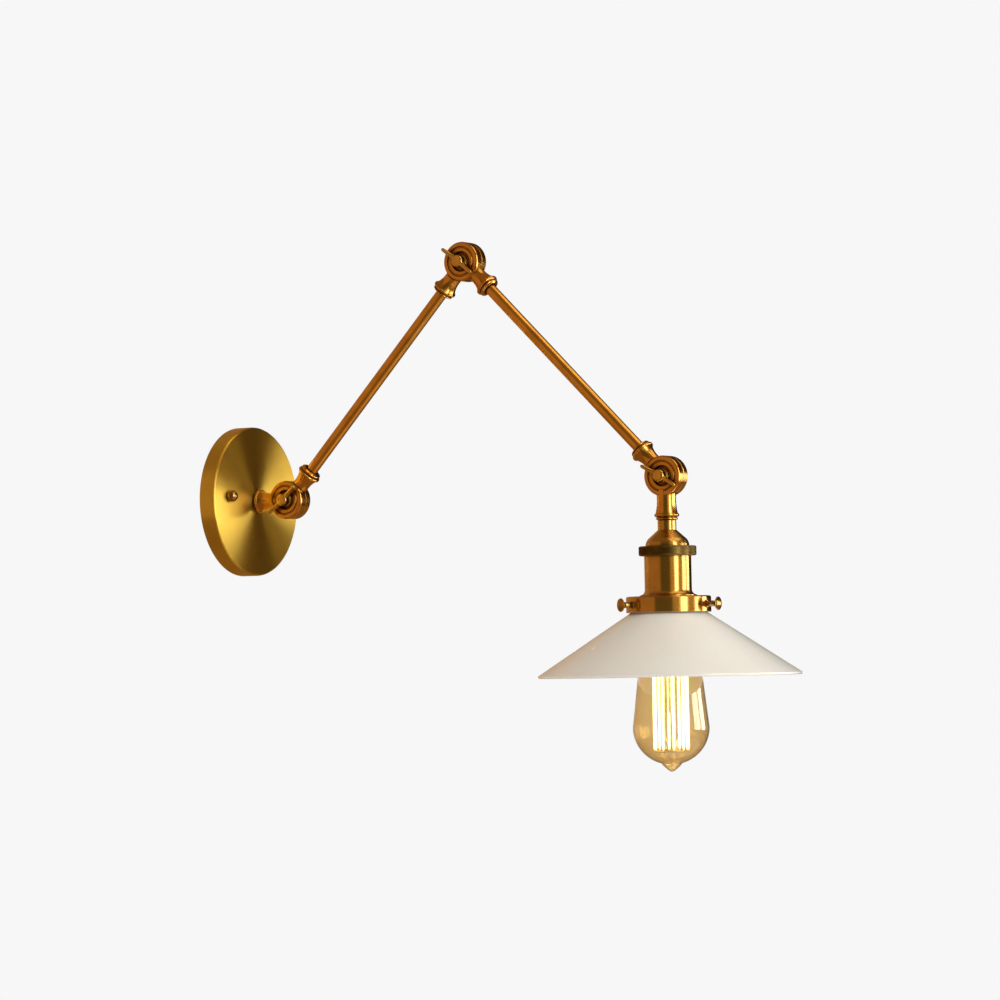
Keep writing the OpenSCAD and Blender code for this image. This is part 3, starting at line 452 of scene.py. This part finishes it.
# Knuckles
# Cast and turned brass halves, each a disc with a trumpet neck, polished and lacquered.
# A fibre washer between the discs gives the joint its drag.
# The near-black in the knuckles' grooves and wing screw recesses is painted shade, with
# some patina.
knuckle_brass = aged_metal_with_groove_shade("knuckle_brass", (0.76, 0.385, 0.08), (0.06, 0.018, 0.003),
                           patches=0.18, patch_size=0.010, groove=1.0, groove_width=0.007,
                           dullness=0.14, bump=0.02, lacquer=0.25)[0]
finish_nodes(knuckle_brass, "wall_knuckle", "lower_arm_root", "lower_arm_tip",
             "upper_arm_root", "upper_arm_tip", "head_knuckle")
fibre = moulded("pressed_fibre", (0.16, 0.075, 0.03), 0.75, grain=1600.0, relief_depth=0.3)
for joint in ("base", "elbow", "head"):
    finish_nodes(fibre, joint + "_friction_washer")

# Arm tubes
# Drawn brass tube, polished along its length, pressed and soldered into its knuckles.
# The lower arm rises from the wall and the upper arm falls from the elbow.


def lengthwise_brass(name, slope):
    """Brass with fine marks along a tube that rises slope degrees above the level."""
    parts = aged_metal_with_groove_shade(name, (0.80, 0.43, 0.09), (0.26, 0.10, 0.02), patches=0.35,
                       patch_size=0.014, groove=0.6, dullness=0.15, bump=0.03)
    tree = parts[1]
    place = add_node(tree, "ShaderNodeTexCoord")
    along = add_node(tree, "ShaderNodeMapping", Rotation=(0, math.radians(slope), 0))
    stretch = add_node(tree, "ShaderNodeVectorMath", operation="MULTIPLY",
                       in_1=(0.02, 1, 1))
    join(tree,
         (place, "Object", along, "Vector"),
         (along, 0, stretch, 0))
    return brush(parts, stretch, fineness=1500, depth=0.10)


for arm, way_up in (("lower", 1), ("upper", -1)):
    low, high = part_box(arm + "_arm_tube")
    slope = way_up * math.degrees(math.atan2(high.z - low.z, high.x - low.x))
    finish_nodes(lengthwise_brass(arm + "_tube_brass", slope), arm + "_arm_tube")

# Wing screws
# Cast brass, one at each pivot, with a round boss and two slim wings that sweep forward.
# Its shank passes through both discs and clamps the joint.
mm = 0.001


def turn_outline(name, outline, steps=128):
    """Draws an outline of (radius, height) points in mm and spins it about Z."""
    piece = draw_path(name, [Vector((radius * mm, 0, height * mm))
                             for radius, height in outline])
    bpy.ops.mesh.select_all(action="SELECT")
    bpy.ops.mesh.spin(steps=steps, angle=2 * math.pi, center=(0, 0, 0), axis=(0, 0, 1))
    bpy.ops.mesh.select_all(action="SELECT")
    bpy.ops.mesh.remove_doubles(threshold=0.000002)
    bpy.ops.mesh.normals_make_consistent(inside=False)
    bpy.ops.object.mode_set(mode="OBJECT")
    return piece


def bow(centre_r, centre_h, radius, start, end, steps):
    """Points of an arc in an outline, from start to end degrees."""
    turns = [math.radians(start + (end - start) * i / steps) for i in range(steps + 1)]
    return [(centre_r + radius * math.cos(turn), centre_h + radius * math.sin(turn))
            for turn in turns]


def pick(*pieces):
    """Selects these pieces and no others, and makes the first one active."""
    bpy.ops.object.select_all(action="DESELECT")
    for piece in pieces:
        piece.select_set(True)
    bpy.context.view_layer.objects.active = pieces[0]


def set_in_place(piece, location=(0, 0, 0), rotation=(0, 0, 0)):
    """Moves and turns a piece, then keeps its place in its mesh."""
    pick(piece)
    piece.rotation_euler = rotation
    piece.location = location
    bpy.ops.object.transform_apply(location=True, rotation=True, scale=True)


def soften(piece, angle):
    """Shades a piece smooth, except at edges sharper than angle degrees."""
    pick(piece)
    bpy.ops.object.shade_smooth_by_angle(angle=math.radians(angle))


def copy_of(pattern, name):
    """A separate copy of a pattern piece."""
    piece = pattern.copy()
    piece.data = pattern.data.copy()
    piece.name = name
    bpy.context.scene.collection.objects.link(piece)
    return piece


def middle_of(name):
    """Middle of a CAD node's box."""
    low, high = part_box(name)
    return (low + high) / 2


# Heights are measured out from the pivot's middle plane, along the screw.
disc_floor = 5.5
wing_pattern = turn_outline("wing_pattern", [
    (0, disc_floor), (5.3, disc_floor), (5.5, disc_floor + 0.2), (5.5, disc_floor + 0.8),
    (4.9, disc_floor + 1.2), (4.4, disc_floor + 1.6), (4.5, 8.0), (5.1, 8.6), (5.25, 9.2),
    (5.25, 13.6)]
    + bow(3.85, 13.7, 1.4, 0, 75, 6) + [(2.6, 15.3), (1.3, 15.4), (0, 15.4)], 64)

# One wing: a block at the boss, drawn out and tapered to the tip, then rounded.
block_size = (1.6, 5.4, 5.6)
block_middle = (3.2, 0, 11.8)
bpy.ops.mesh.primitive_cube_add(size=1, location=(0, 0, 0))
wing = bpy.context.object
wing.name = "wing"
bpy.ops.object.mode_set(mode="EDIT")
bpy.ops.transform.resize(value=[side * mm for side in block_size],
                         center_override=(0, 0, 0))
bpy.ops.transform.translate(value=[step * mm for step in block_middle])
bpy.ops.mesh.select_all(action="DESELECT")
bpy.ops.mesh.select_mode(type="FACE")
bpy.ops.object.mode_set(mode="OBJECT")
outer_face = max(wing.data.polygons, key=lambda face: face.center.x)
outer_face.select = True
bpy.ops.object.mode_set(mode="EDIT")
reached = Vector(((block_middle[0] + block_size[0] / 2) * mm, 0, block_middle[2] * mm))
# Each step: how far out and forward it goes, and its shares of the width and depth.
for out, forward, width_left, depth_left in (
        (3.4, 0.4, 0.80, 0.94), (4.0, 0.8, 0.90, 0.94), (4.3, 1.1, 0.92, 0.82),
        (3.0, 0.6, 0.80, 0.72)):
    step = Vector((out * mm, 0, forward * mm))
    bpy.ops.mesh.extrude_region_move(TRANSFORM_OT_translate={"value": step})
    reached += step
    bpy.ops.transform.resize(value=(1, width_left, depth_left), center_override=reached)
bpy.ops.object.mode_set(mode="OBJECT")
rounding = wing.modifiers.new("rounding", "SUBSURF")
rounding.levels = rounding.render_levels = 3
pick(wing)
bpy.ops.object.modifier_apply(modifier=rounding.name)
bpy.ops.object.duplicate()
other_wing = bpy.context.object
set_in_place(other_wing, rotation=(0, 0, math.pi))
pick(wing_pattern, wing, other_wing)
bpy.ops.object.join()
soften(wing_pattern, 40)

wing_brass = aged_metal_with_groove_shade("wing_brass", (0.80, 0.50, 0.13), (0.10, 0.045, 0.012),
                        patches=0.25, patch_size=0.006, groove=0.8, dullness=0.18)[0]
wing_pattern.data.materials.append(wing_brass)
for joint, turn in (("base", -40), ("elbow", 38), ("head", 29)):
    wing_screw = copy_of(wing_pattern, joint + "_wing_screw_cast")
    turned = (Matrix.Rotation(math.radians(turn), 4, "Y")
              @ Matrix.Rotation(math.pi / 2, 4, "X"))
    set_in_place(wing_screw, middle_of(joint + "_friction_washer"), turned.to_euler())
    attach(wing_screw, joint + "_wing")
    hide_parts(joint + "_wing_screw")
bpy.data.objects.remove(wing_pattern)

# Lampholder
# A spun cap with a straight collar, a knurled ring that clamps it, and a drawn shell.
# Inside are a porcelain core, a brass contact and a threaded sleeve.


def turned_brass(name, metal, tarnish, dullness, patches=0.25, lacquer=0.0):
    """Brass with fine marks round the lamp's upright axis."""
    parts = aged_metal_with_groove_shade(name, metal, tarnish, patches=patches, patch_size=0.02, groove=0.6,
                       dullness=dullness, lacquer=lacquer)
    tree, shader = parts[1:3]
    place = add_node(tree, "ShaderNodeTexCoord")
    around = add_node(tree, "ShaderNodeVectorMath", operation="MULTIPLY",
                      in_1=(0.01, 0.01, 1))
    round_the_axis = add_node(tree, "ShaderNodeTangent", direction_type="RADIAL", axis="Z")
    fill(shader, Anisotropic=0.85, Anisotropic_Rotation=0.25)
    join(tree,
         (place, "Object", around, 0),
         (round_the_axis, 0, shader, "Tangent"))
    return brush(parts, around, fineness=2200, depth=0.08)


holder_brass = turned_brass("holder_brass", (0.60, 0.34, 0.07), (0.22, 0.10, 0.02), 0.20,
                            lacquer=0.6)
finish_nodes(holder_brass, "holder_cap", "holder_shell")
contact_brass = turned_brass("contact_brass", (0.80, 0.62, 0.26), (0.40, 0.28, 0.10), 0.28)
finish_nodes(contact_brass, "screw_shell", "centre_contact")
porcelain = moulded("glazed_porcelain", (0.82, 0.80, 0.74), 0.16, coat=0.6)
finish_nodes(porcelain, "holder_core")
dark_plastic = moulded("dark_plastic", (0.022, 0.020, 0.018), 0.38)
finish_nodes(dark_plastic, "holder_liner", "bulb_cap_insulator")

# The ring's outer face is cut with crossed knurls, one row of points after another.
ring_low, ring_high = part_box("knurled_ring")
ring_r = (ring_high.x - ring_low.x) / 2 / mm
ring_h = (ring_high.z - ring_low.z) / mm
ring_bore_r = 18.6
ring_edge = 1.2
knurl_rows = 8
knurl_teeth = 110
knurl_depth = 0.5
band = [(ring_r, ring_edge + (ring_h - 2 * ring_edge) * i / knurl_rows)
        for i in range(knurl_rows + 1)]
ring_outline = ([(ring_bore_r, 0), (ring_r - ring_edge, 0)]
                + bow(ring_r - ring_edge, ring_edge, ring_edge, -80, -20, 3)
                + band
                + bow(ring_r - ring_edge, ring_h - ring_edge, ring_edge, 20, 80, 3)
                + [(ring_r - ring_edge, ring_h), (ring_bore_r, ring_h), (ring_bore_r, 0)])
ring = turn_outline("clamp_ring", ring_outline, 2 * knurl_teeth)
bpy.ops.object.mode_set(mode="EDIT")
bpy.ops.mesh.select_all(action="DESELECT")
bpy.ops.mesh.select_mode(type="VERT")
bpy.ops.object.mode_set(mode="OBJECT")
row_height = band[1][1] - band[0][1]
for vertex in ring.data.vertices:
    across = math.hypot(vertex.co.x, vertex.co.y) / mm
    row = (vertex.co.z / mm - ring_edge) / row_height
    column = math.atan2(vertex.co.y, vertex.co.x) / (math.pi / knurl_teeth)
    on_band = across > ring_r - 0.01 and -0.1 < row < knurl_rows + 0.1
    vertex.select = on_band and (round(row) + round(column)) % 2 == 0
bpy.ops.object.mode_set(mode="EDIT")
shrink = 1 - knurl_depth / ring_r
bpy.ops.transform.resize(value=(shrink, shrink, 1), center_override=(0, 0, 0))
bpy.ops.object.mode_set(mode="OBJECT")
soften(ring, 18)
holder_axis = middle_of("knurled_ring")
set_in_place(ring, (holder_axis.x, holder_axis.y, ring_low.z))
ring_brass = turned_brass("ring_brass", (0.30, 0.20, 0.065), (0.08, 0.06, 0.02), 0.42,
                          patches=0.6)
ring.data.materials.append(ring_brass)
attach(ring, "lamp_head")
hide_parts("knurled_ring")

# Gallery and thumb screws
# A shallow spun cup that holds the glass, clamped by a ring nut inside it.
# Three flared thumb screws bear on the neck of the glass.
finish_nodes(holder_brass, "gallery", "gallery_ring_nut")
thumb_brass = aged_metal_with_groove_shade("thumb_brass", (0.50, 0.31, 0.10), (0.09, 0.045, 0.015),
                         patches=0.3, patch_size=0.005, groove=0.9, dullness=0.16)[0]

# Heights are measured out from the holder's axis, along the screw.
thumb_pattern = turn_outline("thumb_pattern", [
    (0, 31.8), (1.0, 31.8), (1.5, 32.4), (1.5, 36.7), (2.3, 36.8), (2.5, 37.1),
    (2.5, 42.9), (2.2, 43.4), (1.7, 43.9), (1.9, 44.3), (3.4, 45.3), (5.0, 46.1)]
    + bow(5.1, 46.7, 0.6, -50, 55, 5)
    + [(4.0, 47.9), (2.2, 48.7), (1.0, 49.0), (0, 49.0)], 64)
soften(thumb_pattern, 40)
thumb_pattern.data.materials.append(thumb_brass)
thumb_level = middle_of("gallery_screw_front").z
for side, turn in (("front", 0), ("back", 120), ("side", 240)):
    thumb = copy_of(thumb_pattern, "thumb_screw_" + side + "_turned")
    outwards = (Matrix.Rotation(math.radians(turn), 4, "Z")
                @ Matrix.Rotation(math.pi / 2, 4, "Y"))
    set_in_place(thumb, (holder_axis.x, holder_axis.y, thumb_level), outwards.to_euler())
    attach(thumb, "thumb_screw_" + side)
    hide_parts("gallery_screw_" + side)
bpy.data.objects.remove(thumb_pattern)

# Shade
# A cone of blown opal glass with a lipped neck and a fire-polished rim.
# It hangs in the gallery by its lip.
opal, opal_tree, opal_shader = new_material(
    "opal_glass", Subsurface_Weight=0.35, Subsurface_Radius=(0.004, 0.003, 0.002),
    Subsurface_Scale=1.0, Coat_Weight=0.5, Coat_Roughness=0.06)
opal_place = add_node(opal_tree, "ShaderNodeTexCoord")
milk = add_node(opal_tree, "ShaderNodeTexNoise", Scale=18.0, Detail=3.0)
milk_tint = add_node(opal_tree, "ShaderNodeMix", data_type="RGBA",
                     A=(0.92, 0.89, 0.83, 1), B=(0.88, 0.84, 0.77, 1))
milk_gloss = add_node(opal_tree, "ShaderNodeMapRange", To_Min=0.20, To_Max=0.30)
ripple = add_node(opal_tree, "ShaderNodeTexNoise", Scale=45.0, Detail=1.0)
ripple_relief = add_node(opal_tree, "ShaderNodeBump", Strength=0.10, Distance=0.0006)
join(opal_tree,
     (opal_place, "Object", milk, "Vector"),
     (milk, 0, milk_tint, "Factor"),
     (milk_tint, "Result", opal_shader, "Base Color"),
     (milk, 0, milk_gloss, "Value"),
     (milk_gloss, 0, opal_shader, "Roughness"),
     (opal_place, "Object", ripple, "Vector"),
     (ripple, 0, ripple_relief, "Height"),
     (ripple_relief, "Normal", opal_shader, "Normal"))
finish_nodes(opal, "glass_shade")

# Bulb
# A blown amber bulb with a drawn-out tip, a clear stem and upright strands on hooks.
# Its brass cap screws into the holder.
glass_low, glass_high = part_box("bulb_glass")
bulb_axis = (glass_low + glass_high) / 2
bulb_r = (glass_high.x - glass_low.x) / 2 / mm
bulb_top = glass_high.z / mm
bulb_tip = glass_low.z / mm
glass_t = 0.9
neck_r = 12.2
throat_r = 13.4
throat_level = bulb_top - 3
end_h = 31
end_turn = 74.4
end_steps = 18
nub_h = 5.9
belly_level = bulb_tip + nub_h + end_h


def swell(t):
    """How far the glass has widened, from 0 at the throat to 1 at the belly."""
    return 0.5 * t + 0.25 * (1 - math.cos(math.pi * min(1, 2 * t)))


def blown_wall(inset, steps=26):
    """Outline of the glass from its neck down to the drawn-out end, inset by its wall."""
    neck = [(neck_r - inset, bulb_top), (neck_r - inset, throat_level + 0.8)]
    body = [(throat_r - inset + (bulb_r - throat_r) * swell(i / steps),
             throat_level + (belly_level - throat_level) * i / steps)
            for i in range(steps + 1)]
    turns = [math.radians(i * end_turn / end_steps) for i in range(1, end_steps + 1)]
    end = [((bulb_r - inset) * math.cos(turn),
            belly_level - (end_h - inset) * math.sin(turn)) for turn in turns]
    return neck + body + end


def nub(*points):
    """Points of the drawn-out nub, each a radius and a height above its tip."""
    return [(radius, bulb_tip + height) for radius, height in points]


outside = blown_wall(0) + nub(
    (7.3, 5.1), (5.8, 3.7), (4.2, 2.3), (2.7, 1.1), (1.4, 0.3), (0, 0))
inside = blown_wall(glass_t) + nub(
    (6.7, 5.9), (5.2, 4.5), (3.6, 3.1), (2.1, 2.0), (1.0, 1.3), (0, 1.1))
envelope = turn_outline("bulb_envelope", inside[::-1] + outside, 96)
soften(envelope, 60)
set_in_place(envelope, (bulb_axis.x, bulb_axis.y, 0))


def blown_glass(name, tint, edge_tint, through_tint, smear):
    """Clear tinted glass with faint smears; its tint deepens where it is seen edge on.

    Rays that look for a light pass straight through it and take through_tint."""
    material, tree, shader = new_material(name, Transmission_Weight=1.0, IOR=1.5,
                                          Coat_Weight=1.0, Coat_Roughness=0.02)
    place = add_node(tree, "ShaderNodeTexCoord")
    haze = add_node(tree, "ShaderNodeTexNoise", Scale=40.0, Detail=3.0)
    depth = add_node(tree, "ShaderNodeMix", data_type="RGBA", A=(*tint, 1),
                     B=(*(0.9 * c for c in tint), 1))
    gloss = add_node(tree, "ShaderNodeMapRange", To_Min=0.5 * smear, To_Max=smear)
    grazing = add_node(tree, "ShaderNodeLayerWeight", Blend=0.35)
    edge_depth = add_node(tree, "ShaderNodeMix", data_type="RGBA", B=(*edge_tint, 1))
    lamp_rays = add_node(tree, "ShaderNodeLightPath")
    see_through = add_node(tree, "ShaderNodeBsdfTransparent", Color=(*through_tint, 1))
    either = add_node(tree, "ShaderNodeMixShader")
    join(tree,
         (place, "Object", haze, "Vector"),
         (haze, 0, depth, "Factor"),
         (grazing, "Facing", edge_depth, "Factor"),
         (depth, "Result", edge_depth, "A"),
         (edge_depth, "Result", shader, "Base Color"),
         (haze, 0, gloss, "Value"),
         (gloss, 0, shader, "Roughness"),
         (lamp_rays, "Is Shadow Ray", either, 0),
         (shader, 0, either, 1),
         (see_through, 0, either, 2),
         (either, 0, tree.nodes["Material Output"], "Surface"))
    return material


amber_glass = blown_glass("amber_glass", (0.88, 0.73, 0.44), (0.66, 0.40, 0.16),
                          (0.93, 0.83, 0.62), 0.06)
envelope.data.materials.append(amber_glass)
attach(envelope, "lamp_head")
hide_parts("bulb_glass")
clear_glass = blown_glass("clear_glass", (0.93, 0.95, 0.93), (0.80, 0.86, 0.82),
                          (0.97, 0.98, 0.97), 0.04)
finish_nodes(clear_glass, "bulb_stem")
finish_nodes(contact_brass, "bulb_cap")
finish_nodes(zinc_plate, "bulb_contact_button")
hook_wire = plated_steel("hook_wire", (0.42, 0.42, 0.40), 0.3, 0.002)
finish_nodes(hook_wire, "filament_supports")

# The strands run up and down between the hooks; at the hooks they are thin and stay dim.
# Lengths are in mm, and hook_share is what a strand keeps of its thickness at a hook.
lowest, highest = (corner.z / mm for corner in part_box("bulb_filament"))
strand_count = 10
strand_r = 0.85
upper_hook_ring_r = 14.2
lower_hook_ring_r = 14.4
hook_drop = 0.5
hook_reach = 1.0
hook_share = 0.35
straight_from = 2.5
glow_from, glow_full = 0.8, 3.5

strand, strand_tree, strand_shader = new_material("glowing_strand", Roughness=0.5,
                                                  Emission_Strength=9.0)
strand_place = add_node(strand_tree, "ShaderNodeTexCoord")
strand_coil = add_node(strand_tree, "ShaderNodeTexNoise", Scale=700.0, Detail=2.0)
strand_tint = add_node(strand_tree, "ShaderNodeMix", data_type="RGBA",
                       A=(1.0, 0.80, 0.48, 1), B=(1.0, 0.90, 0.66, 1))
strand_height = add_node(strand_tree, "ShaderNodeSeparateXYZ")
strand_warm_up = add_node(strand_tree, "ShaderNodeMapRange",
                          From_Min=(lowest + glow_from) * mm,
                          From_Max=(lowest + glow_full) * mm)
strand_glow = add_node(strand_tree, "ShaderNodeMix", data_type="RGBA",
                       A=(0.07, 0.028, 0.006, 1))
join(strand_tree,
     (strand_place, "Object", strand_coil, "Vector"),
     (strand_coil, 0, strand_tint, "Factor"),
     (strand_tint, "Result", strand_shader, "Base Color"),
     (strand_place, "Object", strand_height, "Vector"),
     (strand_height, "Z", strand_warm_up, "Value"),
     (strand_warm_up, "Result", strand_glow, "Factor"),
     (strand_tint, "Result", strand_glow, "B"),
     (strand_glow, "Result", strand_shader, "Emission Color"))

hook_points = []
for i in range(strand_count):
    around = math.radians(360 / strand_count * (i + 0.5))
    side = Vector((math.cos(around), math.sin(around), 0))
    upper = bulb_axis + upper_hook_ring_r * mm * side
    lower = bulb_axis + lower_hook_ring_r * mm * side
    run = [Vector((at.x, at.y, height * mm)) for at, height in (
        (upper, highest - hook_drop), (upper, highest - straight_from),
        (lower, lowest + straight_from), (lower, lowest + hook_drop))]
    hook_points += run if i % 2 == 0 else run[::-1]
draw_path("lit_filament", hook_points)
bpy.ops.object.mode_set(mode="OBJECT")
bpy.ops.object.convert(target="CURVE")
filament = bpy.context.object
filament.data.bevel_depth = strand_r * mm
filament.data.bevel_resolution = 3
filament.data.use_fill_caps = True
for point in filament.data.splines[0].points:
    height = point.co.z / mm
    at_hook = min(highest - height, height - lowest) < hook_reach
    point.radius = hook_share if at_hook else 1.0
bpy.ops.object.convert(target="MESH")
filament = bpy.context.object
soften(filament, 50)
filament.data.materials.append(strand)
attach(filament, "lamp_head")
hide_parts("bulb_filament")
